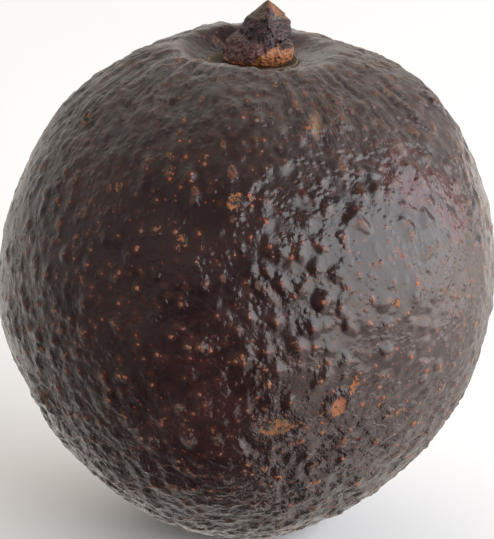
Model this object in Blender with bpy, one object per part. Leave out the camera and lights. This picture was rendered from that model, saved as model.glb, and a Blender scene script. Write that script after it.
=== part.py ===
"""An avocado that stands on the small flat spot at its blossom end, with a woody stem button in its basin.

Two pieces: the fruit, a turned body made slightly uneven, and the stem button, a stack of lofted rings.
Metres, +Z up. The origin is the middle of the flat spot, so the fruit stands on Z = 0.
"""

import math

import bmesh
import bpy

MM = 0.001

# The fruit: a rounded body whose upper and lower halves are superellipses that meet at the widest circle.
WIDEST_RADIUS = 35.0 * MM
UPPER_HEIGHT = 36.0 * MM
UPPER_FULLNESS = 2.2
LOWER_HEIGHT = 37.9 * MM
LOWER_FULLNESS = 1.83
FLAT_SPOT_RADIUS = 6.0 * MM

# The basin at the stem end, and the shallow socket in its floor that the stem button stands in.
BASIN_DEPTH = 6.4 * MM
BASIN_SPREAD = 6.6 * MM
SOCKET_RADIUS = 5.3 * MM
SOCKET_DEPTH = 0.9 * MM
SOCKET_OFFSET = 0.7 * MM

# How far from round the fruit grew: broad lobes (how many round it, share of the radius, turn in radians),
# and a lean towards +X.
LOBES = ((2, 0.006, 0.6), (3, 0.007, 2.1), (5, 0.004, 4.0))
LEAN = 0.02

# The stem button: (height above its underside, radius, shift along +X) of each ring, from the underside up.
BUTTON_RINGS = (
    (0.0 * MM, 4.3 * MM, 0.0 * MM),
    (0.5 * MM, 4.7 * MM, 0.0 * MM),
    (1.6 * MM, 4.9 * MM, 0.0 * MM),
    (2.9 * MM, 4.4 * MM, 0.1 * MM),
    (4.0 * MM, 3.9 * MM, 0.5 * MM),
    (5.2 * MM, 3.5 * MM, 1.0 * MM),
    (6.3 * MM, 2.9 * MM, 1.3 * MM),
    (7.6 * MM, 1.7 * MM, 1.4 * MM),
    (8.6 * MM, 0.6 * MM, 1.4 * MM),
)
FIT_GAP = 0.3 * MM

FRUIT_SEGMENTS = 72
UPPER_STEPS = 26
LOWER_STEPS = 22
BUTTON_SEGMENTS = 28
WELD_DISTANCE = 0.01 * MM
CREASE_ANGLE = math.radians(50)


def superellipse_radius(share, fullness):
    """Radius, as a share of the widest, at a height that is a share of the half's own height."""
    return (1 - share**fullness) ** (1 / fullness)


def flat_spot_share():
    """How far down the lower half, as a share of its height, its radius has shrunk to the flat spot's."""
    return (1 - (FLAT_SPOT_RADIUS / WIDEST_RADIUS) ** LOWER_FULLNESS) ** (1 / LOWER_FULLNESS)


WIDEST_HEIGHT = LOWER_HEIGHT * flat_spot_share()


def crown_height(radius):
    """Height of the upper half at a radius, with the basin sunk into it."""
    share = radius / WIDEST_RADIUS
    dome = UPPER_HEIGHT * (1 - share**UPPER_FULLNESS) ** (1 / UPPER_FULLNESS)
    return WIDEST_HEIGHT + dome - BASIN_DEPTH * math.exp(-((radius / BASIN_SPREAD) ** 2))


SOCKET_RIM_HEIGHT = crown_height(SOCKET_RADIUS)
SOCKET_FLOOR_HEIGHT = SOCKET_RIM_HEIGHT - SOCKET_DEPTH


def fruit_profile():
    """(radius, height) of the fruit's outline, from the middle of the socket down to that of the flat spot."""
    outline = [(0.0, SOCKET_FLOOR_HEIGHT), (SOCKET_RADIUS, SOCKET_FLOOR_HEIGHT)]
    rim_angle = math.asin(SOCKET_RADIUS / WIDEST_RADIUS)
    for step in range(UPPER_STEPS + 1):
        angle = rim_angle + (math.pi / 2 - rim_angle) * step / UPPER_STEPS
        radius = WIDEST_RADIUS * math.sin(angle)
        outline.append((radius, crown_height(radius)))
    lowest = math.asin(flat_spot_share())
    for step in range(1, LOWER_STEPS + 1):
        share = math.sin(lowest * step / LOWER_STEPS)
        radius = WIDEST_RADIUS * superellipse_radius(share, LOWER_FULLNESS)
        outline.append((radius, WIDEST_HEIGHT - LOWER_HEIGHT * share))
    outline.append((0.0, 0.0))
    return outline


def swell(angle, height):
    """The lobes' share of the radius at an angle: full near the widest height, none at both ends."""
    belly = math.sin(math.pi * min(1.0, height / (WIDEST_HEIGHT + UPPER_HEIGHT))) ** 0.5
    return belly * sum(size * math.cos(count * angle + turn) for count, size, turn in LOBES)


def socket_shift(radius):
    """The socket and the basin sit off the middle, towards +X, and the shift fades out over the crown."""
    return SOCKET_OFFSET * math.exp(-((radius / (2 * BASIN_SPREAD)) ** 2))


def grow(vertex):
    """Moves a point of the turned body to where the lobes, the lean and the socket's shift put it."""
    x, y, height = vertex.co
    radius = math.hypot(x, y)
    size = 1 + swell(math.atan2(y, x), height)
    shift = LEAN * height + (socket_shift(radius) if height > WIDEST_HEIGHT else 0.0)
    vertex.co = (x * size + shift, y * size, height)


def new_object(name, shape, material):
    """Turns a finished bmesh into a smooth-shaded object."""
    mesh = bpy.data.meshes.new(name)
    shape.to_mesh(mesh)
    shape.free()
    mesh.materials.append(material)
    mesh.shade_smooth()
    mesh.set_sharp_from_angle(angle=CREASE_ANGLE)
    part = bpy.data.objects.new(name, mesh)
    bpy.context.scene.collection.objects.link(part)
    return part


def make_material(name, colour, roughness):
    """A plain finish in the piece's main colour."""
    material = bpy.data.materials.new(name)
    material.use_nodes = True
    shader = material.node_tree.nodes["Principled BSDF"]
    shader.inputs["Base Color"].default_value = (*colour, 1.0)
    shader.inputs["Roughness"].default_value = roughness
    shader.inputs["Metallic"].default_value = 0.0
    return material


def make_fruit(material):
    """Spins the outline about the upright axis, welds its seam and its two middles, then grows it uneven."""
    shape = bmesh.new()
    points = [shape.verts.new((radius, 0.0, height)) for radius, height in fruit_profile()]
    edges = [shape.edges.new(pair) for pair in zip(points, points[1:])]
    bmesh.ops.spin(
        shape,
        geom=points + edges,
        cent=(0, 0, 0),
        axis=(0, 0, 1),
        angle=2 * math.pi,
        steps=FRUIT_SEGMENTS,
    )
    bmesh.ops.remove_doubles(shape, verts=shape.verts[:], dist=WELD_DISTANCE)
    for vertex in shape.verts:
        grow(vertex)
    bmesh.ops.recalc_face_normals(shape, faces=shape.faces[:])
    return new_object("fruit", shape, material)


def make_stem_button(material):
    """Stacks round rings that shrink and lean towards +X, joins them, and closes both ends."""
    shape = bmesh.new()
    underside = SOCKET_FLOOR_HEIGHT + FIT_GAP
    middle = LEAN * SOCKET_RIM_HEIGHT + SOCKET_OFFSET
    loops = []
    for height, radius, shift in BUTTON_RINGS:
        ring = []
        for segment in range(BUTTON_SEGMENTS):
            angle = 2 * math.pi * segment / BUTTON_SEGMENTS
            place = (
                middle + shift + radius * math.cos(angle),
                radius * math.sin(angle),
                underside + height,
            )
            ring.append(shape.verts.new(place))
        loops.append([shape.edges.new(pair) for pair in zip(ring, ring[1:] + ring[:1])])
    for lower, upper in zip(loops, loops[1:]):
        bmesh.ops.bridge_loops(shape, edges=lower + upper)
    for end in (loops[0], loops[-1]):
        bmesh.ops.contextual_create(shape, geom=end)
    bmesh.ops.recalc_face_normals(shape, faces=shape.faces[:])
    return new_object("stem_button", shape, material)


def main():
    for leftover in list(bpy.data.objects):
        bpy.data.objects.remove(leftover)
    skin = make_material("avocado_skin", (0.045, 0.026, 0.028), 0.35)
    wood = make_material("stem_wood", (0.30, 0.12, 0.05), 0.75)
    make_fruit(skin)
    make_stem_button(wood)


main()
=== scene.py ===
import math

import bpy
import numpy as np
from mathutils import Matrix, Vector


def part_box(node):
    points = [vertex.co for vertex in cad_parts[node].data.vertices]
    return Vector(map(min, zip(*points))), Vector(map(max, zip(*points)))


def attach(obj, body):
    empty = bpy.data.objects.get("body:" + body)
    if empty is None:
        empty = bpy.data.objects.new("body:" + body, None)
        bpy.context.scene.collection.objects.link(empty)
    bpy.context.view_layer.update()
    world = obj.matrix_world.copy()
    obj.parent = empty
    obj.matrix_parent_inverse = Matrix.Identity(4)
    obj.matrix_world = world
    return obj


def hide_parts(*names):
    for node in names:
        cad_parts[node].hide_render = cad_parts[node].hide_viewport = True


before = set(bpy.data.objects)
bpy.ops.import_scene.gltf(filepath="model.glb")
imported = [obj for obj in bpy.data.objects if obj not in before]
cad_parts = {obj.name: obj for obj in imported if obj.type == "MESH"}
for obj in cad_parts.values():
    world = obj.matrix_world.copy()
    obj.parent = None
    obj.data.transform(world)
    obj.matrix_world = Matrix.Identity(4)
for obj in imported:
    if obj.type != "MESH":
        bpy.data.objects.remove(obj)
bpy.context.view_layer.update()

# %% [markdown]
# # A ripe avocado on a pale table
#
# The fruit is one body with a dark pebbled peel, and a woody stem button stands in the basin at its top.
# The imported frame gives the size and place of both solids. This lesson makes the surfaces that the eye
# sees: the peel with its domes, creases, corky dots and scars, the rim of torn tissue round the stem, and
# the bark of the stem button itself. Each surface is a function of two parameters, worked out as whole
# numpy arrays.

MM = 0.001
fruit_low, fruit_high = (np.array(corner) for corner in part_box("fruit"))
stem_low, stem_high = (np.array(corner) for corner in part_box("stem_button"))
WIDEST_RADIUS = float((fruit_high - fruit_low)[:2].sum() / 4)
STEM_MIDDLE = float(stem_low[0] + stem_high[0]) / 2
STEM_RADIUS = float(stem_high[0] - stem_low[0]) / 2
STEM_HEIGHT = float(stem_high[2] - stem_low[2])
print(f"fruit {2 * WIDEST_RADIUS / MM:.1f} mm across, {fruit_high[2] / MM:.1f} mm to the crown")
print(f"stem button {2 * STEM_RADIUS / MM:.1f} mm across, {STEM_HEIGHT / MM:.1f} mm tall")

# %% [markdown]
# ## The camera
#
# A long lens from a little above keeps the fruit's round outline almost free of perspective.

# %% Camera
CAMERA_DISTANCE = 0.40
CAMERA_ELEVATION = math.radians(18)
CAMERA_LENS = 187.7
SENSOR_WIDTH = 36.0
NEAR_LIMIT = 0.01
AIM = (0.6 * MM, 0.0, 38.3 * MM)


def add_object(name, data):
    """A new object in the scene that shows the data: a camera, a light or a mesh."""
    made = bpy.data.objects.new(name, data)
    bpy.context.scene.collection.objects.link(made)
    return made


def make_camera():
    """Looks along +Y and down at the aim point, from CAMERA_DISTANCE away."""
    camera = add_object("camera", bpy.data.cameras.new("camera"))
    back = CAMERA_DISTANCE * math.cos(CAMERA_ELEVATION)
    up = CAMERA_DISTANCE * math.sin(CAMERA_ELEVATION)
    camera.location = (AIM[0], AIM[1] - back, AIM[2] + up)
    camera.rotation_euler = (math.pi / 2 - CAMERA_ELEVATION, 0.0, 0.0)
    camera.data.lens = CAMERA_LENS
    camera.data.sensor_width = SENSOR_WIDTH
    camera.data.clip_start = NEAR_LIMIT
    bpy.context.scene.camera = camera


make_camera()
bpy.context.scene.view_settings.view_transform = "Standard"
print(f"camera {CAMERA_DISTANCE} m away, {math.degrees(CAMERA_ELEVATION):.0f} degrees up")

# %% [markdown]
# ## Shader maths as Python expressions
#
# A finish is a chain of nodes, and long chains are hard to read as calls. The class below wraps one
# socket, so that `1 - mask * 0.5` adds the Math nodes for it. Everything else comes from its one method
# `node`, which takes a node's type, its settings and the values or wires for its sockets.


# %% A wire and its arithmetic
class Wire:
    """One socket of a node tree. Arithmetic on it adds Math nodes; colours are mixed by `blend`."""

    def __init__(self, tree, socket):
        self.tree = tree
        self.socket = socket

    def feed(self, socket, value):
        """Links a wire to a socket, or sets a plain value on it."""
        if isinstance(value, Wire):
            self.tree.links.new(value.socket, socket)
        elif isinstance(value, tuple) and len(value) == 3 and len(socket.default_value) == 4:
            socket.default_value = (*value, 1.0)
        else:
            socket.default_value = value

    def node(self, kind, settings=None, inputs=None, output=0):
        """Adds a node, sets its settings and then its sockets by name or number, and gives one output."""
        made = self.tree.nodes.new(kind)
        for name, value in (settings or {}).items():
            setattr(made, name, value)
        for name, value in (inputs or {}).items():
            self.feed(made.inputs[name], value)
        return Wire(self.tree, made.outputs[output] if made.outputs else None)

    def math(self, operation, *values):
        return self.node("ShaderNodeMath", {"operation": operation}, dict(enumerate(values)))

    def __add__(self, other):
        return self.math("ADD", self, other)

    __radd__ = __add__

    def __sub__(self, other):
        return self.math("SUBTRACT", self, other)

    def __rsub__(self, other):
        return self.math("SUBTRACT", other, self)

    def __mul__(self, other):
        return self.math("MULTIPLY", self, other)

    __rmul__ = __mul__

    def __truediv__(self, other):
        return self.math("DIVIDE", self, other)

    def highest(self, other):
        return self.math("MAXIMUM", self, other)

    def between(self, low, high):
        """0 up to low, 1 from high on, and a smooth step from one to the other."""
        limits = {"Value": self, "From Min": low, "From Max": high}
        return self.node("ShaderNodeMapRange", {"interpolation_type": "SMOOTHSTEP"}, limits)

    def blend(self, first, second):
        """The first colour where this wire is 0, the second where it is 1."""
        return self.node("ShaderNodeMix", {"data_type": "RGBA"}, {0: self, 6: first, 7: second}, 2)

    def vector(self, operation, *values, output=0):
        numbered = dict(enumerate(values))
        return self.node("ShaderNodeVectorMath", {"operation": operation}, numbered, output)

    def parts(self):
        """The three parts of a vector as three wires."""
        split = self.node("ShaderNodeSeparateXYZ", None, {"Vector": self}).socket.node
        return tuple(Wire(self.tree, socket) for socket in split.outputs)

    def attribute(self, name, output="Fac"):
        """A value that the mesh carries on its vertices."""
        return self.node("ShaderNodeAttribute", {"attribute_name": name}, None, output)

    def noise(self, cell, detail=2.0, roughness=0.5):
        """Soft random values about 0.5 at this wire's place, with blobs of the cell's size."""
        sockets = {"Vector": self, "Scale": 1 / cell, "Detail": detail, "Roughness": roughness}
        return self.node("ShaderNodeTexNoise", None, sockets)


# %% [markdown]
# ## The light
#
# One very large soft panel stands to the right, between the camera and the side. The room does the rest:
# pale behind and overhead, dim in front on the left, and bright low on the right, where a table by a
# window would be. The peel is nearly black, so most of what the eye reads as its shape is this room
# mirrored in it.

# %% Room light
PANEL_AZIMUTH = math.radians(62)
PANEL_DISTANCE = 1.2
PANEL_WIDTH = 2.7
PANEL_HEIGHT = 1.16
PANEL_LIFT = 0.01
PANEL_RADIANCE = 5.2
PANEL_COLOUR = (0.94, 0.975, 1.03)
ROOM_COLOUR = (1.0, 0.93, 0.86)
BACKDROP_STRENGTH = 0.97
WHITE = (1.0, 1.0, 1.0)


def make_panel():
    """A soft panel that faces the fruit. Its power is radiance times pi times area."""
    light = bpy.data.lights.new("window_panel", "AREA")
    light.shape = "RECTANGLE"
    light.size = PANEL_WIDTH
    light.size_y = PANEL_HEIGHT
    light.energy = PANEL_RADIANCE * math.pi * PANEL_WIDTH * PANEL_HEIGHT
    light.color = PANEL_COLOUR
    panel = add_object("window_panel", light)
    panel.location = (
        PANEL_DISTANCE * math.sin(PANEL_AZIMUTH),
        -PANEL_DISTANCE * math.cos(PANEL_AZIMUTH),
        PANEL_HEIGHT / 2 + PANEL_LIFT,
    )
    panel.rotation_euler = (math.pi / 2, 0.0, PANEL_AZIMUTH)
    panel.visible_camera = False


def make_room():
    """The brightness of each direction, as a sum of soft zones. The three parts of a direction say how
    far it points right, back and up, from -1 to 1. The camera sees an even white backdrop in place of
    the room."""
    world = bpy.data.worlds.new("room")
    world.use_nodes = True
    bpy.context.scene.world = world
    tree = world.node_tree
    tree.nodes.clear()
    start = Wire(tree, None)
    toward = start.node("ShaderNodeTexCoord", None, None, "Generated")
    right, back, up = toward.parts()
    below = 1 - up.between(-0.06, 0.0)
    behind = back.between(-0.3, 0.3) * (0.15 + 0.85 * up.between(-0.97, -0.75))
    left = 1 - right.between(-0.70, -0.20)
    rearward = back.between(-0.6, 0.7)
    front_left = 0.27 + 0.53 * rearward + 0.22 * left * (1 - rearward)
    front_left = front_left * (1 - (0.80 - 0.35 * left) * below * (1 - behind))
    front_left = front_left * (1 - 0.35 * right.between(0.0, 0.4) * up.between(0.4, 0.8))
    overhead = 0.66 * (up + back).between(0.70, 1.50)
    rear_low = (0.45 - 0.35 * right.between(0.0, 0.3)) * below * back.between(0.1, 0.8)
    rear_low = rear_low * (1 - 0.7 * up.between(-0.45, -0.15))
    edge = right - 0.17 * up.between(-0.82, -0.50) - 0.20 * (1 - up.between(-0.97, -0.88))
    right_side = edge.between(0.0, 0.16) * (1 - 0.85 * back.between(0.0, 0.6))
    by_height = 1.9 - 0.5 * up.between(-0.75, -0.40) + 4.1 * up.between(-0.38, -0.22)
    low_right = right_side * below * by_height
    far_right = 0.2 * right.between(0.2, 0.9) * back.between(-0.4, 0.5)
    brightness = front_left + overhead + rear_low + low_right + far_right
    room = start.node("ShaderNodeBackground", None, {"Color": ROOM_COLOUR, "Strength": brightness})
    backdrop = start.node("ShaderNodeBackground", None, {"Color": WHITE, "Strength": BACKDROP_STRENGTH})
    seen = start.node("ShaderNodeLightPath", None, None, "Is Camera Ray")
    both = start.node("ShaderNodeMixShader", None, {0: seen, 1: room, 2: backdrop})
    start.node("ShaderNodeOutputWorld", None, {"Surface": both})


make_panel()
make_room()
print(f"panel {PANEL_WIDTH} x {PANEL_HEIGHT} m at {PANEL_DISTANCE} m")

# %% [markdown]
# ## Finishes, and the table
#
# Every finish starts from the Principled shader and reads Object coordinates, so that a pattern keeps its
# real size and stays on its piece. The table is a large pale sheet. It is left out of mirror-like
# reflections, so that the glossy peel shows only the lights.


# %% A finish and its parts
def new_finish(name):
    """An empty material: gives it, its Principled shader and a wire for the place on the piece."""
    material = bpy.data.materials.new(name)
    material.use_nodes = True
    shader = material.node_tree.nodes["Principled BSDF"]
    start = Wire(material.node_tree, None)
    place = start.node("ShaderNodeTexCoord", None, None, "Object")
    return material, shader, place


def raise_bump(place, shader, height):
    """Bends the shader's normal by a height in mm."""
    sockets = {"Height": height, "Distance": MM, "Strength": 1.0}
    place.feed(shader.inputs["Normal"], place.node("ShaderNodeBump", None, sockets, "Normal"))


# %% Table
TABLE_SIDE = 6.0
TABLE_COLOUR = (0.86, 0.86, 0.86, 1.0)
TABLE_ROUGHNESS = 0.8


def make_table():
    """A square pale sheet at the height of the fruit's foot."""
    half = TABLE_SIDE / 2
    mesh = bpy.data.meshes.new("table")
    corners = [(-half, -half, 0), (half, -half, 0), (half, half, 0), (-half, half, 0)]
    mesh.from_pydata(corners, [], [(0, 1, 2, 3)])
    table = add_object("table", mesh)
    material, shader, _ = new_finish("table_white")
    shader.inputs["Base Color"].default_value = TABLE_COLOUR
    shader.inputs["Roughness"].default_value = TABLE_ROUGHNESS
    mesh.materials.append(material)
    table.visible_glossy = False


make_table()

# %% [markdown]
# ## Random fields
#
# Grown surfaces are uneven at every scale. One field serves them all: random numbers at the corners of a
# lattice, blended smoothly in between. Stretching the points before the call stretches the pattern.

# %% Lattice noise
LATTICE = 64


def field(points, cell, seed):
    """Smooth values from -1 to 1. Each point blends the random numbers at the eight corners of its
    lattice cube, by the product along the three axes of t or 1 - t, with t eased by 3t^2 - 2t^3."""
    table = np.random.default_rng(seed).uniform(-1, 1, (LATTICE, LATTICE, LATTICE))
    spot = points / cell
    corner = np.floor(spot).astype(int)
    t = spot - corner
    t = t * t * (3 - 2 * t)
    total = np.zeros(len(points))
    for step in np.ndindex(2, 2, 2):
        index = (corner + step) % LATTICE
        total += np.where(step, t, 1 - t).prod(axis=1) * table[tuple(index.T)]
    return total


def rough_field(points, cell, seed, octaves=3):
    """The field plus ever finer and weaker copies, each with half the cell and half the strength."""
    return sum(field(points, cell / 2**n, seed + n) / 2**n for n in range(octaves))


def ease(value, low, high):
    """0 up to low, 1 from high on, 3t^2 - 2t^3 in between; a falling step where low is above high."""
    t = np.clip((value - low) / (high - low), 0.0, 1.0)
    return t * t * (3 - 2 * t)


# %% [markdown]
# ## The fruit's body
#
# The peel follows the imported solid's outline: an upper and a lower half that meet at the widest circle,
# each a superellipse, with a basin at the stem end and a flat spot at the foot. The outline is stored by
# its own length, so equal steps of the polar angle are equal steps along the peel.

# %% The outline from the stem end to the foot
UPPER_HEIGHT = 1.0286 * WIDEST_RADIUS
UPPER_FULLNESS = 2.2
LOWER_HEIGHT = 1.0829 * WIDEST_RADIUS
LOWER_FULLNESS = 1.83
FLAT_SPOT_RADIUS = 0.1714 * WIDEST_RADIUS
BASIN_DEPTH = 6.4 * MM
BASIN_SPREAD = 6.6 * MM
LEAN = 0.02
SOCKET_OFFSET = 0.7 * MM
# How many lobes round the fruit, their share of the radius and their turn in radians.
LOBES = ((2, 0.006, 0.6), (3, 0.007, 2.1), (5, 0.004, 4.0))


def half_outline(share, fullness):
    """The height share h of a superellipse at a radius share r: h = (1 - r^fullness)^(1 / fullness)."""
    return np.clip(1 - share**fullness, 0, 1) ** (1 / fullness)


flat_spot_share = np.array(FLAT_SPOT_RADIUS / WIDEST_RADIUS)
WIDEST_HEIGHT = LOWER_HEIGHT * float(half_outline(flat_spot_share, LOWER_FULLNESS))


def fruit_outline(steps=1500):
    """Radius and height along the outline, and its tangent: the sine of an even angle gives the radius
    share, so that points crowd where the outline runs steeply."""
    turn = np.linspace(0, math.pi / 2, steps)
    upper_share = np.sin(turn)
    upper_radius = WIDEST_RADIUS * upper_share
    basin = BASIN_DEPTH * np.exp(-((upper_radius / BASIN_SPREAD) ** 2))
    upper = WIDEST_HEIGHT + UPPER_HEIGHT * half_outline(upper_share, UPPER_FULLNESS) - basin
    low_share = np.sin(turn[::-1][1:])
    lower = np.maximum(WIDEST_HEIGHT - LOWER_HEIGHT * half_outline(low_share, LOWER_FULLNESS), 0.0)
    radius = np.concatenate([upper_radius, WIDEST_RADIUS * low_share])
    height = np.concatenate([upper, lower])
    length = np.concatenate([[0.0], np.cumsum(np.hypot(np.diff(radius), np.diff(height)))])
    even = np.linspace(0, length[-1], 2 * steps)
    radius, height = np.interp(even, length, radius), np.interp(even, length, height)
    along = np.stack([np.gradient(radius), np.gradient(height)], axis=1)
    along /= np.linalg.norm(along, axis=1, keepdims=True)
    return even / length[-1], radius, height, along, length[-1]


OUTLINE_SHARE, OUTLINE_RADIUS, OUTLINE_HEIGHT, OUTLINE_ALONG, OUTLINE_LENGTH = fruit_outline()
print(f"outline {OUTLINE_LENGTH / MM:.1f} mm long, widest {WIDEST_HEIGHT / MM:.1f} mm up")


# %% A point of the smooth body
def body_surface(polar, azimuth):
    """Place, outward direction, direction down the meridian and direction round, for a polar angle from
    the stem end and an azimuth from +X. The outline is read at polar / pi of its length and turned by
    the azimuth; then the lobes widen it and the lean and the basin's offset shift it."""
    share = polar / math.pi
    radius = np.interp(share, OUTLINE_SHARE, OUTLINE_RADIUS)
    height = np.interp(share, OUTLINE_SHARE, OUTLINE_HEIGHT)
    out_step = np.interp(share, OUTLINE_SHARE, OUTLINE_ALONG[:, 0])
    up_step = np.interp(share, OUTLINE_SHARE, OUTLINE_ALONG[:, 1])
    cos, sin = np.cos(azimuth), np.sin(azimuth)
    belly = np.sin(math.pi * np.clip(height / (WIDEST_HEIGHT + UPPER_HEIGHT), 0, 1)) ** 0.5
    size = 1 + belly * sum(part * np.cos(count * azimuth + turn) for count, part, turn in LOBES)
    above = ease(height, WIDEST_HEIGHT, WIDEST_HEIGHT + 2 * MM)
    shift = LEAN * height + above * SOCKET_OFFSET * np.exp(-((radius / (2 * BASIN_SPREAD)) ** 2))
    place = np.stack([radius * cos * size + shift, radius * sin * size, height], axis=-1)
    down = np.stack([out_step * cos, out_step * sin, up_step], axis=-1)
    outward = np.stack([-up_step * cos, -up_step * sin, out_step], axis=-1)
    around = np.stack([-sin, cos, np.zeros_like(cos)], axis=-1)
    return place, outward, down, around


# %% [markdown]
# ## The grid that wraps the fruit
#
# Lines of latitude would crowd at the stem and the foot. A cube blown up to a ball has no such pinch: six
# square grids, spread by equal angles, meet edge to edge, and the shared points are welded.

# %% Six welded grids
GRID = 128


def ball_grid(count):
    """Unit directions, faces and face-corner map coordinates. A square grid point (a, b) on side n of
    the cube is n + tan(a) u + tan(b) v, made one long. Points that agree to a millionth are one point."""
    angle = np.tan(np.linspace(-math.pi / 4, math.pi / 4, count + 1))
    a, b = np.meshgrid(angle, angle, indexing="ij")
    sides = []
    for axis in range(3):
        for sign in (1.0, -1.0):
            side = np.zeros((count + 1, count + 1, 3))
            side[..., axis] = sign
            side[..., (axis + 1) % 3] = a
            side[..., (axis + 2) % 3] = sign * b
            sides.append(side)
    directions = np.array(sides).reshape(-1, 3)
    directions /= np.linalg.norm(directions, axis=1, keepdims=True)
    rounded = np.round(directions * 1e6)
    _, first, index = np.unique(rounded, axis=0, return_index=True, return_inverse=True)
    index = index.reshape(6, count + 1, count + 1)
    ring = (slice(0, -1), slice(1, None))
    corners = [index[:, ring[i], ring[j]] for i, j in ((0, 0), (1, 0), (1, 1), (0, 1))]
    faces = np.stack(corners, axis=-1).reshape(-1, 4)
    even = np.linspace(0.02, 0.98, count + 1)
    flat = np.stack(np.meshgrid(even, even, indexing="ij"), axis=-1)
    charts = np.stack([(flat + (n % 3, n // 3)) / (3, 2) for n in range(6)])
    maps = [charts[:, ring[i], ring[j]] for i, j in ((0, 0), (1, 0), (1, 1), (0, 1))]
    return directions[first], faces, np.stack(maps, axis=-2).reshape(-1, 2)


def ball_angles(directions):
    """The polar angle from +Z and the azimuth from +X of each unit direction."""
    return np.arccos(np.clip(directions[:, 2], -1, 1)), np.arctan2(directions[:, 1], directions[:, 0])


directions, skin_faces, skin_map = ball_grid(GRID)
polar, azimuth = ball_angles(directions)
body, outward, _, _ = body_surface(polar, azimuth)
print(f"{len(directions)} points, {2 * len(skin_faces)} triangles")

# %% [markdown]
# ## Domes on the peel
#
# The peel is set with low domes 1 to 3 mm across, most of them a little longer down the fruit than
# across, and longer still on the shoulders. They thin out in the basin and on the flat spot. Each dome
# lies in its own tangent plane, and its height there is (1 - q^2)^2, where q is the distance from its
# middle in dome radii. Between them stand smaller pimples, which are the peaks of a fine random field.
# The belly is the smoothest part: the shoulders are streaky, further down at the sides than in front, and
# the lower third is rough.

# %% Where the domes are
DOME_COUNT = 3300
DOME_RADIUS = 0.84
DOME_SPREAD = 0.36
DOME_LIMITS = (0.48, 1.35)
OLD_SHARE = 0.26
rng = np.random.default_rng(7)


def scatter(count, jitter):
    """Even spiral points on a ball, each pushed aside at random: polar angle and azimuth."""
    step = np.arange(count) + 0.5
    z = 1 - 2 * step / count
    turn = step * math.pi * (3 - math.sqrt(5))
    ball = np.stack([np.sqrt(1 - z * z) * np.cos(turn), np.sqrt(1 - z * z) * np.sin(turn), z], axis=1)
    ball += rng.normal(0, jitter / math.sqrt(count), ball.shape)
    return ball_angles(ball / np.linalg.norm(ball, axis=1, keepdims=True))


dome_polar, dome_azimuth = scatter(DOME_COUNT, 1.3)
dome_place, dome_out, dome_down, dome_round = body_surface(dome_polar, dome_azimuth)
dome_size = rng.lognormal(math.log(DOME_RADIUS), DOME_SPREAD, DOME_COUNT)
dome_size = np.clip(dome_size, *DOME_LIMITS) * MM
shoulder = ease(dome_polar, 1.25, 0.55)
dome_stretch = 1.1 + 0.5 * rng.random(DOME_COUNT) + 0.9 * shoulder * rng.random(DOME_COUNT)
dome_twist = rng.normal(0, 0.35, DOME_COUNT)
dome_height = dome_size * rng.uniform(0.16, 0.52, DOME_COUNT)
dome_height *= 0.80 + 0.35 * field(dome_place, 14 * MM, 11)
dome_height *= 0.38 + 0.62 * ease(-dome_place[:, 1], 4 * MM, 26 * MM)
dome_age = np.where(rng.random(DOME_COUNT) < OLD_SHARE, rng.uniform(0.45, 1.0, DOME_COUNT), 0.0)
from_stem = np.hypot(dome_place[:, 0] - STEM_MIDDLE, dome_place[:, 1])
upper = dome_place[:, 2] > WIDEST_HEIGHT
dome_height *= np.where(upper, ease(from_stem, 9 * MM, 19 * MM), ease(from_stem, 5 * MM, 9 * MM))
dome_height *= 1 - 0.45 * ease(dome_polar, 1.8, 2.3)
print(f"{DOME_COUNT} domes, {dome_height.mean() / MM:.2f} mm high on average")


# %% Raising the domes
FAR_SIDE = -6 * MM
OUT_OF_REACH = 9.0
BATCH = 120


def patches(points, place, out, down_way, round_way, long_radius, short_radius, twist):
    """For every point and patch, the squared distance from the patch's middle in patch radii, along its
    two own directions in its tangent plane. Points on the far side of the fruit get a large number."""
    cos, sin = np.cos(twist)[:, None], np.sin(twist)[:, None]
    long_way = (cos * down_way + sin * round_way) / long_radius[:, None]
    short_way = (cos * round_way - sin * down_way) / short_radius[:, None]
    along = points @ long_way.T - (place * long_way).sum(axis=1)
    across = points @ short_way.T - (place * short_way).sum(axis=1)
    depth = points @ out.T - (place * out).sum(axis=1)
    return np.where(depth > FAR_SIDE, along**2 + across**2, OUT_OF_REACH)


def raise_domes(points):
    """The height of the domes at each point, the sum of height times (1 - q^2)^2 inside each dome, and
    the cork on the tips of old domes, the greatest of age times 1 - 1.7 q^2."""
    total = np.zeros(len(points))
    tips = np.zeros(len(points))
    for part in np.array_split(np.arange(DOME_COUNT), DOME_COUNT // BATCH):
        squared = patches(
            points, dome_place[part], dome_out[part], dome_down[part], dome_round[part],
            dome_size[part] * dome_stretch[part], dome_size[part], dome_twist[part],
        )
        total += (np.clip(1 - squared, 0, None) ** 2) @ dome_height[part]
        old = dome_age[part] > 0
        tips = np.maximum(tips, (dome_age[part][old] * (1 - 1.7 * squared[:, old])).max(axis=1))
    return total, tips


domes, old_tips = raise_domes(body)
print(f"domes stand up to {domes.max() / MM:.2f} mm")

# %% Where the skin is streaky, smooth and rough
PIMPLE_HEIGHT = 0.08 * MM
WIDE_PIMPLE_HEIGHT = 0.12 * MM
from_front = np.angle(np.exp(1j * (azimuth + math.pi / 2)))
streaky_end = 1.14 - 0.40 * np.exp(-(((from_front + 0.15) / 0.6) ** 2))
streaky = ease(polar, streaky_end, streaky_end - 0.4)
smooth_patch = np.exp(-(((from_front + 0.24) / 0.36) ** 2)) * ease(polar, 2.75, 2.35)
lower_third = ease(polar, 1.6, 2.1) * (1 - 0.80 * smooth_patch)
rough_skin = 0.35 + 0.65 * np.maximum(streaky, lower_third)
pimples = PIMPLE_HEIGHT * ease(field(body, 0.95 * MM, 31), 0.10, 0.75)
pimples += WIDE_PIMPLE_HEIGHT * ease(field(body, 1.5 * MM, 32), 0.15, 0.8)
pimples *= rough_skin
print(f"pimples stand up to {pimples.max() / MM:.2f} mm")

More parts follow.
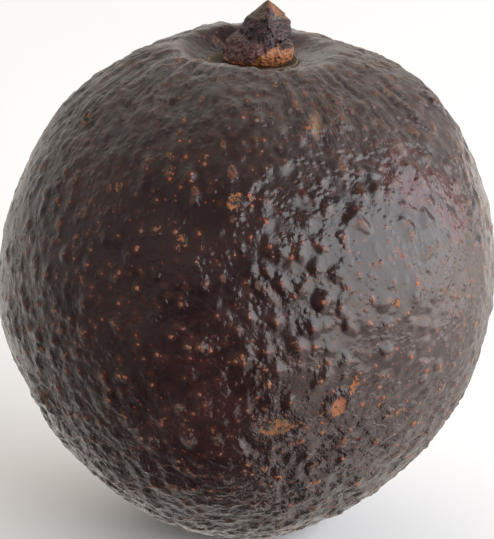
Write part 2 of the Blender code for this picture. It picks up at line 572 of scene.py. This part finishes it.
# %% [markdown]
# ## Swells, folds and creases
#
# Under the domes the peel swells gently over 5 to 11 mm. Fine folds run from the stem down the shoulders:
# they are a field whose points are wrapped on a cylinder and squeezed along the meridian, so its blobs
# draw out lengthways and gather towards the stem.

# %% Swells and folds
SWELL_HEIGHT = 0.34 * MM
RIPPLE_HEIGHT = 0.20 * MM
FOLD_HEIGHT = 0.22 * MM
FINE_FOLD_HEIGHT = 0.13 * MM
CREASE_DEPTH = 0.20 * MM
FINE_CREASE_DEPTH = 0.08 * MM
PIT_DEPTH = 0.14 * MM
radius_now = np.hypot(body[:, 0] - LEAN * body[:, 2], body[:, 1])
length_now = polar / math.pi * OUTLINE_LENGTH
wrapped = np.stack(
    [WIDEST_RADIUS * np.cos(azimuth), WIDEST_RADIUS * np.sin(azimuth), 0.32 * length_now], axis=1
)
swells = SWELL_HEIGHT * field(body, 11 * MM, 21) + RIPPLE_HEIGHT * rough_skin * field(body, 5.0 * MM, 22)
folds = FOLD_HEIGHT * field(wrapped, 4.6 * MM, 23) + FINE_FOLD_HEIGHT * field(wrapped, 2.4 * MM, 24)
folds *= (0.15 + 0.85 * streaky) * ease(radius_now, 6 * MM, 13 * MM)
creases = -CREASE_DEPTH * rough_skin * ease(np.abs(rough_field(body, 3.0 * MM, 25, 2)), 0.18, 0.0)
creases -= FINE_CREASE_DEPTH * rough_skin * ease(np.abs(field(body, 1.5 * MM, 26)), 0.22, 0.0)
long_pits = ease(-field(wrapped, 1.5 * MM, 28), 0.12, 0.70)
long_pits += 0.6 * ease(-field(wrapped, 0.85 * MM, 29), 0.15, 0.75)
round_pits = ease(-field(body, 1.8 * MM, 30), 0.05, 0.60) * lower_third
pits = -PIT_DEPTH * (long_pits * (0.08 + 1.5 * streaky) + 1.9 * round_pits)
print(f"folds from {folds.min() / MM:.2f} to {folds.max() / MM:.2f} mm")


# %% [markdown]
# ## Named marks
#
# This fruit has its own marks: two corky scars low on the front and one on the left, cork spots about
# them and on the left shoulder, a smooth tan streak under the stem, two lumps on the right shoulder, and
# two shallow hollows on the left side. A mark's place is a turn from the front towards +X, in degrees,
# and a height over the table, in mm.

# %% Places of the marks
def site(turn, height):
    """The body's place and its three directions at a turn from the front, in degrees, and a height, in
    mm. Outside the basin the outline only falls, so its height can be read backwards."""
    crown = OUTLINE_HEIGHT.argmax()
    share = np.interp(-height * MM, -OUTLINE_HEIGHT[crown:], OUTLINE_SHARE[crown:])
    return body_surface(share * math.pi, np.radians(turn) - math.pi / 2)


def mark_shape(marks):
    """The squared distance from each mark's middle in mark radii. A mark is its turn, height, long
    radius and short radius in mm, and the twist of its long side from the meridian in radians."""
    turn, height, long_radius, short_radius, twist = np.array(marks, float).T
    return patches(body, *site(turn, height), long_radius * MM, short_radius * MM, twist)


SCARS = (
    (21, 29.5, 2.0, 1.3, -0.3),
    (7, 27.0, 1.7, 2.9, 0.25),
    (-59, 25, 1.9, 1.5, 0.5),
)
CORK_SPOTS = (
    (24, 32.4, 2.2, 1.2, -0.6),
    (17, 29.0, 1.1, 0.9, 0.0),
    (-24, 61.9, 1.3, 0.8, 0.2),
    (-4, 57.0, 1.4, 1.9, 0.4),
    (-16, 52.3, 1.3, 1.2, 0.0),
    (-36, 58.0, 1.2, 1.0, 0.5),
    (-64, 64.0, 1.8, 1.1, 0.7),
    (19, 65.8, 1.0, 0.9, 0.0),
    (11, 69.8, 1.1, 1.3, 0.0),
    (32, 28.4, 1.0, 0.8, 0.2),
    (37, 27.0, 0.9, 1.0, 0.0),
    (44, 24.0, 1.4, 0.9, 0.6),
    (34, 43.0, 0.9, 0.7, 0.0),
    (16, 47.0, 1.3, 0.6, 0.0),
)
LUMPS = (
    (84, 63.5, 5.0, 5.0, 0.0),
    (69, 58.0, 4.5, 5.0, 0.0),
    (-90, 55.0, 15.0, 15.0, 0.0),
    (-90, 22.0, 13.0, 13.0, 0.0),
)
LUMP_HEIGHTS = (0.32, 0.32, -0.50, -0.35)
STREAK = ((22, 66.0, 3.4, 1.0, -0.35), (22, 66.4, 2.0, 1.1, -0.35))
BLUSH = ((46, 58.5, 6.0, 5.5, -0.3), (57, 53, 6.0, 4.5, -0.2), (-10, 30, 17.0, 9.0, 0.0))

scar_shape = mark_shape(SCARS)
scars = np.clip(1.35 - scar_shape, 0, 1).max(axis=1)
scar_rims = np.exp(-(((np.sqrt(scar_shape) - 1.15) / 0.28) ** 2)).max(axis=1)
cork_spots = np.clip(1.2 - mark_shape(CORK_SPOTS), 0, 1).max(axis=1)
streak = np.clip(1 - mark_shape(STREAK), 0, 1).max(axis=1)
blush = (np.clip(1 - mark_shape(BLUSH), 0, 1) * (1.0, 1.0, 0.22)).max(axis=1)
lumps = (np.clip(1 - mark_shape(LUMPS), 0, 1) ** 2) @ np.array(LUMP_HEIGHTS) * MM
print(f"{len(SCARS)} scars, {len(CORK_SPOTS)} cork spots, {len(LUMPS)} lumps")

# %% [markdown]
# ## The floor of the basin
#
# The stem does not sink into a funnel: round it the basin is level, and its edge is the torn rim. Beyond
# the rim the peel climbs to the crown, quickly at the back and slowly towards the front, so the foot of
# the stem shows. The crown is not level: it is highest just left of the stem and falls away on both
# sides, more on the right.

# %% Edge and rise of the basin
BASIN_FLOOR = float(stem_low[2]) - 0.15 * MM
EDGE_LIP = 0.30 * MM


def rim_outside(turn):
    """Outer radius of the torn rim at a turn from +X: 6.45 mm less 0.8 mm times a cosine, made ragged."""
    ring = np.stack([np.cos(turn), np.sin(turn), 0 * turn], axis=-1).reshape(-1, 3) * 6 * MM
    ragged = 0.25 * rough_field(ring, 2 * MM, 41).reshape(turn.shape)
    return (6.45 - 0.8 * np.cos(turn - 0.35) + ragged) * MM


to_stem = np.hypot(body[:, 0] - STEM_MIDDLE, body[:, 1])
stem_turn = np.arctan2(body[:, 1], body[:, 0] - STEM_MIDDLE)
is_upper = body[:, 2] > WIDEST_HEIGHT
basin_edge = rim_outside(stem_turn)
basin_end = (12 - 2.2 * np.sin(stem_turn)) * MM
outside_rim = ease(to_stem, basin_edge - 0.1 * MM, basin_end)
sunk = is_upper * (1 - outside_rim) * (BASIN_FLOOR - body[:, 2])
edge_lip = EDGE_LIP * is_upper * ease(to_stem, basin_edge, basin_edge + 0.5 * MM) * (1 - outside_rim)
sideways = body[:, 0] / MM
crown_shape = 0.50 * np.exp(-(((sideways + 2.0) / 5) ** 2))
crown_shape -= 0.62 * np.exp(-(((sideways + 18.5) / 7) ** 2))
crown_shape -= 1.15 * np.exp(-(((sideways - 14.5) / 8.5) ** 2))
crown_shape *= MM * ease(body[:, 2], 50 * MM, 63 * MM) * outside_rim
print(f"basin sunk by up to {-sunk.min() / MM:.2f} mm")

# %% The whole relief
quiet = np.where(is_upper, ease(to_stem, 7 * MM, 17 * MM), ease(radius_now, 4 * MM, 9 * MM))
ragged = field(body, 1.1 * MM, 27)
scar_relief = scar_rims * (0.24 + 0.34 * ragged) * MM - scars * (0.10 + 0.16 * ragged) * MM
calm = (1 - 0.8 * np.maximum(scars, 0.9 * streak)) * quiet
relief = calm * (domes + pimples + pits) + folds + quiet * (swells + creases) + lumps + scar_relief
relief += 0.15 * MM * cork_spots * (0.6 + ragged)
skin_points = body + outward * relief[:, None]
skin_points[:, 2] += sunk + edge_lip + crown_shape
skin_points[:, 2] = np.maximum(skin_points[:, 2], 0.0)
print(f"relief from {relief.min() / MM:.2f} to {relief.max() / MM:.2f} mm")


# %% [markdown]
# ## Lenticels
#
# The peel breathes through lenticels: corky dots, orange when fresh and tan when old, most of them on the
# top of a dome. They are sharper than the mesh, so each vertex carries the middle, the size and the
# distance of the nearest one, and the finish works out the dot between the vertices.

# %% The nearest lenticel of each vertex
STRAY_COUNT = 1500
LENTICEL_SHARE = 0.42
TOP_SCALE, STRAY_SCALE = 1.1, 0.75
on_top = (rng.random(DOME_COUNT) < LENTICEL_SHARE) & (from_stem > 6 * MM)
lenticel_place = dome_place[on_top] + dome_down[on_top] * rng.normal(0, 0.25 * MM, (on_top.sum(), 1))
stray_place = body_surface(*scatter(STRAY_COUNT, 2.5))[0]
lenticel_place = np.concatenate([lenticel_place, stray_place])
LENTICEL_COUNT = len(lenticel_place)
lenticel_size = rng.uniform(0.10, 0.28, LENTICEL_COUNT)
lenticel_size *= np.where(np.arange(LENTICEL_COUNT) < on_top.sum(), TOP_SCALE, STRAY_SCALE)
lenticel_tone = rng.beta(0.8, 1.6, LENTICEL_COUNT)


def nearest(points, middles, sizes):
    """For each point, the middle that is nearest once its size is taken off, and that distance."""
    best = np.full(len(points), np.inf)
    owner = np.zeros(len(points), int)
    square = (points**2).sum(axis=1)[:, None]
    for part in np.array_split(np.arange(len(middles)), len(middles) // BATCH):
        squared = square - 2 * points @ middles[part].T + (middles[part] ** 2).sum(axis=1)
        distance = np.sqrt(np.clip(squared, 0, None)) - sizes[part]
        closest = distance.argmin(axis=1)
        value = distance[np.arange(len(points)), closest]
        owner = np.where(value < best, part[closest], owner)
        best = np.minimum(value, best)
    return owner, best


owner, reach = nearest(body, lenticel_place, lenticel_size * MM)
lift = np.zeros(LENTICEL_COUNT)
np.maximum.at(lift, owner, np.where(reach < 0.15 * MM, relief, 0.0))
lenticel_out = lenticel_place - np.array([0, 0, WIDEST_HEIGHT])
lenticel_out /= np.linalg.norm(lenticel_out, axis=1, keepdims=True)
lenticel_middle = lenticel_place + lenticel_out * lift[:, None]
print(f"{LENTICEL_COUNT} lenticels, and {(dome_age > 0).sum()} domes with old cork")


# %% [markdown]
# ## From arrays to a mesh
#
# A surface is put into its mesh whole. What its finish needs to know of the place, such as how much cork
# grows there, goes with it as numbers on the vertices, and the shader blends them across each face.


# %% Putting a surface into a mesh
def new_piece(name, points, faces, material, corner_map=None):
    """A smooth-shaded object at the origin from arrays of points and four-cornered faces."""
    mesh = bpy.data.meshes.new(name)
    mesh.from_pydata(points, [], faces)
    mesh.materials.append(material)
    mesh.shade_smooth()
    if corner_map is not None:
        layer = mesh.uv_layers.new(name="OFBake")
        layer.uv.foreach_set("vector", corner_map.astype(np.float32).ravel())
    return add_object(name, mesh)


def carry(piece, **layers):
    """Stores named values on the mesh: for each vertex one number, or one vector."""
    for name, values in layers.items():
        is_vector = values.ndim == 2
        kind = "FLOAT_VECTOR" if is_vector else "FLOAT"
        layer = piece.data.attributes.new(name, kind, "POINT")
        layer.data.foreach_set("vector" if is_vector else "value", values.astype(np.float32).ravel())


# %% [markdown]
# ## The peel's finish
#
# A ripe peel is glossy, waxy and almost black, with maroon where the green has broken down and a grey-
# brown haze on the shoulders. Cork is matt and crumbly: its edge is a soft value carried by the mesh, cut
# by fine noise.

# %% Masks of the peel
def dot_distance(place):
    """How far a place is outside the nearest lenticel, in mm, with a ragged edge. Past 0.18 mm the
    distance that the mesh carries takes over, because the middle is no longer the same one across a
    face."""
    middle = place.attribute("lenticel_middle", "Vector")
    gap = place.vector("DISTANCE", place, middle, output="Value") / MM - place.attribute("lenticel_size")
    ragged = 0.30 * (place.noise(0.30 * MM, 2.0) - 0.5)
    return gap.highest(place.attribute("lenticel_reach") - 0.18) + ragged


def speck_mask(place):
    """Tiny young lenticels: the cores of random cells 1.3 mm apart, in patches."""
    cells = {"Vector": place, "Scale": 1 / (1.3 * MM)}
    core = place.node("ShaderNodeTexVoronoi", None, cells, "Distance")
    patch = place.noise(6 * MM, 2.0).between(0.36, 0.58)
    return (1 - core.between(0.09, 0.18)) * patch


def tip_mask(place):
    """Old cork on the tips of domes: the carried value less fine noise, with a soft edge."""
    return (place.attribute("old_tip") - 0.85 * place.noise(0.50 * MM, 3.0, 0.65)).between(0.0, 0.30)


def cork_mask(place):
    """Cork: the carried value less fine noise, cut sharply, so that the edge is crumbly."""
    crumbs = place.noise(0.55 * MM, 3.0, 0.65)
    bite = place.noise(1.7 * MM, 2.0) - 0.5
    return (place.attribute("cork") - 1.1 * crumbs - 1.5 * bite).between(0.02, 0.14)


# %% Colours of the peel
PEEL_BLACK = (0.0120, 0.0036, 0.0038)
PEEL_BROWN = (0.022, 0.0100, 0.0090)
MAROON = (0.046, 0.0070, 0.0070)
GREY_HAZE = (0.050, 0.040, 0.033)
FOLD_BROWN = (0.066, 0.036, 0.024)
STREAK_TAN = (0.13, 0.075, 0.040)


def ground_colour(place):
    """Nearly black, warmer in soft patches, maroon where blushed and tan along the streak."""
    patch = place.noise(8 * MM, 3.0).between(0.36, 0.66)
    dark = patch.blend(PEEL_BLACK, PEEL_BROWN)
    maroon = place.attribute("blush") * place.noise(2.0 * MM, 3.0).between(0.36, 0.60)
    warm = maroon.blend(dark, MAROON)
    haze = place.attribute("haze") * place.noise(1.6 * MM, 3.0).between(0.35, 0.75)
    lined = place.attribute("fold") * place.noise(1.2 * MM, 3.0).between(0.40, 0.65)
    hazy = (0.8 * lined).blend(haze.blend(warm, GREY_HAZE), FOLD_BROWN)
    return (place.attribute("streak") * 0.8).between(0.1, 0.9).blend(hazy, STREAK_TAN)


# %% Colours of cork and lenticels
CORK_DARK = (0.020, 0.010, 0.007)
CORK_ORANGE = (0.240, 0.085, 0.028)
CORK_PALE = (0.110, 0.070, 0.040)
CORK_SALMON = (0.225, 0.078, 0.036)
YOUNG_RED = (0.23, 0.046, 0.018)
YOUNG_ORANGE = (0.30, 0.100, 0.035)
OLD_TAN = (0.19, 0.10, 0.06)
TIP_DARK = (0.026, 0.012, 0.009)
TIP_RUST = (0.150, 0.048, 0.020)
TIP_TAN = (0.125, 0.070, 0.042)


def cork_colour(place):
    """Orange-brown cork with dark crumbs and pale fibres, and one smooth salmon heart."""
    crumbs = place.noise(0.95 * MM, 4.0, 0.65).between(0.44, 0.57)
    brown = crumbs.blend(CORK_DARK, CORK_ORANGE)
    pale = place.noise(1.1 * MM, 2.0).between(0.50, 0.68).blend(brown, CORK_PALE)
    return place.attribute("heart").between(0.35, 0.50).blend(pale, CORK_SALMON)


def dot_colour(place):
    """From orange-red on young lenticels to crumbly tan on old ones."""
    young = place.noise(1.6 * MM, 1.0).between(0.40, 0.60).blend(YOUNG_RED, YOUNG_ORANGE)
    return place.attribute("lenticel_tone").between(0.25, 0.75).blend(young, OLD_TAN)


def tip_colour(place):
    """Crumbs of tan and rust on brown."""
    crumbs = place.noise(0.36 * MM, 3.0, 0.7).between(0.38, 0.60)
    rust = place.noise(2.0 * MM, 1.0).between(0.42, 0.58).blend(TIP_RUST, TIP_TAN)
    return crumbs.blend(TIP_DARK, rust)


# %% Fine relief of the peel
def fine_relief(place, cork, dots):
    """Height in mm: grain, pimples, creases, furrows, dimples, crumbs of cork, lenticel beads, cracks."""
    grain = 0.017 * place.noise(0.33 * MM, 3.0, 0.6)
    cells = {"Vector": place, "Scale": 1 / (1.0 * MM), "Randomness": 1.0}
    core = place.node("ShaderNodeTexVoronoi", None, cells, "Distance")
    zone = place.noise(4 * MM, 2.0).between(0.32, 0.56)
    pimple = 0.090 * (1 - core.between(0.05, 0.55)) * zone
    line = place.noise(1.5 * MM, 2.0) - 0.5
    low = place.attribute("low")
    crease = (0.018 + 0.025 * low) * zone * line.math("ABSOLUTE", line).between(0.0, 0.06)
    drawn_out = place.attribute("drawn_out", "Vector")
    lines = drawn_out.noise(0.75 * MM, 3.0, 0.55).between(0.30, 0.52)
    furrow = 0.08 * lines * place.attribute("furrowed")
    dimple = 0.18 * place.noise(1.35 * MM, 3.0).between(0.36, 0.54) * low
    crumbs = 0.30 * cork * place.noise(0.40 * MM, 3.0, 0.7)
    bead = 0.09 * (1 - dots.between(-0.22, 0.10))
    cracked = place.noise(0.9 * MM, 3.0, 0.6).between(0.35, 0.60)
    cracks = 0.16 * place.attribute("scar_halo") * cracked
    return grain + pimple + crease + furrow + dimple + crumbs + bead + cracks


# %% The peel's finish
PEEL_IOR = 1.45
HALO_RUST = (0.075, 0.021, 0.011)
SPECK_RED = (0.15, 0.028, 0.020)
MATT = 0.78


def peel_finish():
    """Waxy and nearly black, with cork and lenticels that are matt."""
    material, shader, place = new_finish("avocado_peel")
    shader.inputs["IOR"].default_value = PEEL_IOR
    dots = dot_distance(place)
    dot = 1 - dots.between(-0.06, 0.05)
    cork = cork_mask(place)
    ground = ground_colour(place)
    halo = (1 - place.attribute("lenticel_reach").between(-0.1, 0.7)) * place.noise(1.3 * MM, 2.0)
    stained = (0.8 * halo).blend(ground, HALO_RUST)
    tipped = (0.8 * tip_mask(place)).blend(stained, tip_colour(place))
    specked = (0.75 * speck_mask(place)).blend(tipped, SPECK_RED)
    strength = 0.45 + 0.5 * place.noise(3.1 * MM, 1.0).between(0.4, 0.6)
    dotted = (dot * strength).blend(specked, dot_colour(place))
    place.feed(shader.inputs["Base Color"], cork.blend(dotted, cork_colour(place)))
    gloss = 0.20 + 0.12 * place.noise(2.5 * MM, 3.0) + 0.12 * place.attribute("haze")
    matt = cork.highest(0.6 * dot).highest(0.5 * tip_mask(place))
    place.feed(shader.inputs["Roughness"], gloss + matt * (MATT - gloss))
    raise_bump(place, shader, fine_relief(place, cork, dots))
    return material


# %% The peel
skin = new_piece("peel", skin_points, skin_faces, peel_finish(), skin_map)
carry(
    skin,
    lenticel_middle=lenticel_middle[owner],
    lenticel_size=lenticel_size[owner],
    lenticel_reach=reach / MM,
    lenticel_tone=lenticel_tone[owner],
    cork=np.maximum(scars, 0.78 * cork_spots),
    old_tip=np.clip(old_tips, 0, 1),
    low=lower_third,
    drawn_out=wrapped,
    furrowed=np.clip(0.05 + streaky, 0, 1) * quiet,
    scar_halo=np.clip(1.6 - 0.45 * scar_shape.min(axis=1), 0, 1),
    heart=np.clip(1.3 - mark_shape(SCARS[:1])[:, 0] * 1.6, 0, 1),
    streak=streak,
    blush=ease(blush, 0.0, 0.5),
    fold=ease(folds, 0.03 * MM, 0.14 * MM),
    haze=ease(body[:, 2], 56 * MM, 68 * MM) * ease(to_stem, 12 * MM, 22 * MM),
)
print(f"peel of {2 * len(skin_faces)} triangles, at most {reach.max() / MM:.1f} mm from a lenticel")
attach(skin, "root")
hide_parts("fruit")

# %% [markdown]
# ## The torn rim round the stem
#
# Where the stem leaves the fruit, the peel ends in a shallow recess with a crumbly olive rim. The recess
# is wider on the left, where the stem has shrunk away from it. The rim is a closed ring: a flat oval
# section is carried round the stem, and its outer radius is a function of the turn.

# %% The torn rim
RIM_INSIDE = 3.9 * MM
RIM_TURNS, RIM_LOOPS = 420, 44


def rim_surface(turn, loop):
    """A flat oval section: cos(loop) runs from the inside to the outside, sin(loop) lifts the top."""
    outside = rim_outside(turn)
    middle, half = (outside + RIM_INSIDE) / 2, (outside - RIM_INSIDE) / 2
    away = middle + half * np.cos(loop)
    across = np.cos(loop)
    lip = ease(across, 0.55, 0.85) * ease(across, 1.05, 0.9)
    height = BASIN_FLOOR + 0.22 * MM * lip + 0.20 * MM * np.sin(loop)
    place = np.stack([STEM_MIDDLE + away * np.cos(turn), away * np.sin(turn), height], axis=-1)
    crumbs = 0.10 * MM * rough_field(place.reshape(-1, 3), 0.9 * MM, 43).reshape(turn.shape)
    place[..., 2] += crumbs * (np.sin(loop) > 0)
    return place, across


def full_turn(count):
    """Evenly spaced angles once round, the last one step short of the first."""
    return np.arange(count) / count * 2 * math.pi


turn, loop = np.meshgrid(full_turn(RIM_TURNS), full_turn(RIM_LOOPS), indexing="ij")
rim_points, rim_across = rim_surface(turn, loop)


def ring_faces(rows, columns):
    """Faces of a grid that closes on itself both ways."""
    number = np.arange(rows * columns).reshape(rows, columns)
    ahead, up_one = np.roll(number, -1, axis=0), np.roll(number, -1, axis=1)
    return np.stack([number, ahead, np.roll(ahead, -1, axis=1), up_one], axis=-1).reshape(-1, 4)


print(f"rim of {rim_points[..., 0].size} points")


# %% The rim's finish
RIM_DARK = (0.014, 0.009, 0.006)
RIM_OLIVE = (0.060, 0.042, 0.022)
RIM_TAN = (0.19, 0.135, 0.065)
DRY_IOR = 1.4


def rim_finish():
    """Dry tissue: dark olive-brown inside, with a paler tan outer lip, and crumbly all over."""
    material, shader, place = new_finish("torn_rim")
    shader.inputs["IOR"].default_value = DRY_IOR
    shader.inputs["Roughness"].default_value = 0.75
    crumbs = place.noise(0.5 * MM, 3.0, 0.7).between(0.35, 0.62)
    inside = crumbs.blend(RIM_DARK, RIM_OLIVE)
    lip = crumbs.blend(RIM_OLIVE, RIM_TAN)
    place.feed(shader.inputs["Base Color"], place.attribute("across").between(0.25, 0.85).blend(inside, lip))
    raise_bump(place, shader, 0.25 * place.noise(0.45 * MM, 3.0, 0.7))
    return material


rim_faces = ring_faces(RIM_TURNS, RIM_LOOPS)
rim = new_piece("torn_rim", rim_points.reshape(-1, 3), rim_faces, rim_finish())
carry(rim, across=rim_across.ravel())
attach(rim, "root")

# %% [markdown]
# ## The stem button
#
# A stub of dried wood 8.7 mm tall: a swollen granular foot, a dark crusty waist, and a wedge-shaped tip
# that was cut on the left and split on the right. Its outline is given by knots: at each height, how far
# it reaches to the left, to the right and to the front. The same grid that wraps the fruit wraps it.

# %% The stem's outline
STEM_LEVELS = (0.0, 0.5, 1.6, 2.4, 3.0, 3.8, 5.0, 6.2, 7.2, 8.0, 8.7)
STEM_LEFT = (-4.3, -4.8, -4.95, -4.7, -4.2, -3.5, -2.4, -1.5, -0.6, 0.25, 0.95)
STEM_RIGHT = (4.3, 4.8, 5.0, 4.6, 4.15, 4.35, 4.6, 4.5, 3.75, 2.9, 1.9)
STEM_DEPTH = (4.2, 4.7, 4.9, 4.6, 4.1, 3.8, 3.4, 2.9, 2.2, 1.5, 0.7)
SQUARENESS = 2.3
STEM_TOP = STEM_LEVELS[-1]
TIP_RISE = 0.35


def stem_surface(polar, azimuth):
    """A point for a polar angle from the tip and an azimuth, in mm. The first tenth of the angle
    crosses the tip, the last eighth the underside, and the height falls evenly in between. The section
    is a superellipse: x = middle + half width * sign(cos) |cos|^(2 / squareness), and y = depth *
    sign(sin) |sin|^(2 / squareness)."""
    share = polar / math.pi
    steps = (0.0, 0.10, 0.88, 1.0)
    height = np.interp(share, steps, (STEM_TOP, STEM_TOP, 0.0, 0.0))
    spread = np.interp(share, steps, (0.0, 1.0, 1.0, 0.0))
    left = np.interp(height, STEM_LEVELS, STEM_LEFT)
    right = np.interp(height, STEM_LEVELS, STEM_RIGHT)
    depth = np.interp(height, STEM_LEVELS, STEM_DEPTH)
    cos, sin = np.cos(azimuth), np.sin(azimuth)
    wide = np.sign(cos) * np.abs(cos) ** (2 / SQUARENESS) * spread
    deep = np.sign(sin) * np.abs(sin) ** (2 / SQUARENESS) * spread
    x = (left + right) / 2 + (right - left) / 2 * wide
    place = np.stack([x, depth * deep, height + TIP_RISE * (1 - spread) * (height > 4)], axis=-1)
    away = np.stack([cos, sin, 0.35 + 0 * cos], axis=-1)
    return place, away / np.linalg.norm(away, axis=-1, keepdims=True)


def cut(points, across, depth, softness=0.15):
    """Presses what stands past a plane back to it, but for a small share; gives also how far it stood."""
    across = np.array(across) / np.linalg.norm(across)
    past = np.clip(points @ across - depth, 0, None)
    return points - (1 - softness) * past[:, None] * across, past


STEM_GRID = 72
stem_directions, stem_faces, stem_map = ball_grid(STEM_GRID)
stem_polar, stem_azimuth = ball_angles(stem_directions)
wood, away = stem_surface(stem_polar, stem_azimuth)
print(f"stem grid of {len(wood)} points")

# %% Cuts, crust and grain of the stem
wood, split_off = cut(wood, (0.72, -0.40, 0.62), 5.55 + 0.10 * rough_field(wood, 1.8, 62))
wood, cut_off = cut(wood, (-0.66, -0.42, 0.66), 3.95 + 0.16 * rough_field(wood, 1.5, 61))
knob = np.exp(-(((wood - (4.3, -0.8, 6.3)) / (0.7, 1.0, 0.6)) ** 2).sum(axis=1))
wood = wood + 0.30 * knob[:, None] * (0.9, -0.2, 0.3)
u, h = wood[:, 0], wood[:, 2]
wander = 0.7 * rough_field(wood, 1.6, 51)
crust_top = 6.0 + 0.8 * np.clip(u - 0.2, 0, 1.4)
crust_band = ease(h + 0.25 * u + 0.7 * wander, 3.1, 3.6) * ease(h + 0.7 * wander - crust_top, 0.8, -0.5)
crust_band *= ease(u + 0.5 * wander, -2.9, -2.2)
foot = ease(h + wander, 3.6, 2.8)
beads = rough_field(wood * (1, 1, 0.55), 0.75, 53, 3)
lumps_of_crust = rough_field(wood, 1.3, 55, 3)
splits = ease(np.abs(field(wood * (1, 1, 0.35), 0.9, 57)), 0.16, 0.0)
bark = 0.17 * foot * beads + 0.34 * crust_band * lumps_of_crust + 0.05 * beads - 0.14 * foot * splits
waist = -(0.16 + 0.30 * ease(u, 2.0, 4.0)) * np.exp(-(((h - 3.5 + 0.12 * u) / 0.40) ** 2))
side = ease(np.abs(stem_polar - math.pi / 2), 1.55, 1.25)
wood = wood + away * (side * (bark + waist))[:, None]
wood[:, 2] = np.clip(wood[:, 2], 0.0, STEM_TOP + 0.3)
stem_points = wood * MM + (STEM_MIDDLE, 0, stem_low[2])
print(f"bark from {bark.min():.2f} to {bark.max():.2f} mm")


# %% The stem's finish
BROWN_SHADES = (0.040, 0.014, 0.012), (0.125, 0.050, 0.042)
OCHRE_SHADES = (0.085, 0.026, 0.011), (0.29, 0.105, 0.034)
CRUST_SHADES = (0.008, 0.004, 0.005), (0.062, 0.021, 0.022)
SLOPE_SHADES = (0.040, 0.023, 0.016), (0.105, 0.070, 0.045)
BARE_SHADES = (0.055, 0.020, 0.010), (0.200, 0.074, 0.022)
CRUST_GREY = (0.085, 0.068, 0.060)


def bark_finish():
    """Granular ochre foot, purple-brown to its left, a purple-black crust, bare orange wood at the tip."""
    material, shader, place = new_finish("stem_bark")
    shader.inputs["IOR"].default_value = DRY_IOR
    fine = place.noise(0.45 * MM, 3.0, 0.7)
    patch = place.noise(1.5 * MM, 3.0)
    brown = fine.between(0.35, 0.65).blend(*BROWN_SHADES)
    ochre = fine.between(0.30, 0.62).blend(*OCHRE_SHADES)
    crust = fine.between(0.40, 0.70).blend(*CRUST_SHADES)
    grey = (patch - 0.3 + place.attribute("grey")).between(0.58, 0.80).blend(crust, CRUST_GREY)
    slope = fine.between(0.30, 0.70).blend(*SLOPE_SHADES)
    bare = fine.between(0.30, 0.66).blend(*BARE_SHADES)
    foot = (place.attribute("ochre") + 0.9 * (patch - 0.5)).between(0.35, 0.65).blend(brown, ochre)
    crusty = (place.attribute("crust") + 0.6 * (patch - 0.5)).between(0.35, 0.60).blend(foot, grey)
    sloped = (place.attribute("slope") + 0.4 * (patch - 0.5)).between(0.40, 0.60).blend(crusty, slope)
    tipped = (place.attribute("bare") + 0.5 * (patch - 0.5)).between(0.40, 0.58).blend(sloped, bare)
    place.feed(shader.inputs["Base Color"], tipped)
    place.feed(shader.inputs["Roughness"], 0.30 + 0.38 * fine)
    cells = {"Vector": place, "Scale": 1 / (0.55 * MM)}
    grains = place.node("ShaderNodeTexVoronoi", None, cells, "Distance")
    raise_bump(place, shader, 0.16 * fine + 0.14 * (1 - grains.between(0.0, 0.7)))
    return material


# %% The stem
stem = new_piece("stem_bark", stem_points, stem_faces, bark_finish(), stem_map)
ochre = ease(u - 1.4 * (h - 1.0) + 0.8 * wander, -1.3, 0.7) * ease(h, 4.4, 3.4)
slope = ease(h + 0.9 * wander - crust_top, -0.3, 0.5) * ease(split_off - cut_off, 0.4, 0.0)
bare = ease(split_off - 0.3 * cut_off, 0.02, 0.22) * ease(h + 0.76 * u + 0.35 * wander, 8.3, 8.8)
carry(
    stem,
    ochre=np.maximum(ochre, 0.7 * ease(h, 1.4, 0.4)),
    crust=crust_band,
    grey=0.7 * np.exp(-(((u - 2.9) / 0.9) ** 2) - ((h - 6.2) / 0.6) ** 2),
    slope=slope,
    bare=bare * ease(u + 0.4 * wander, 1.0, 1.5),
)
print(f"stem of {2 * len(stem_faces)} triangles")
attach(stem, "root")
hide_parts("stem_button")
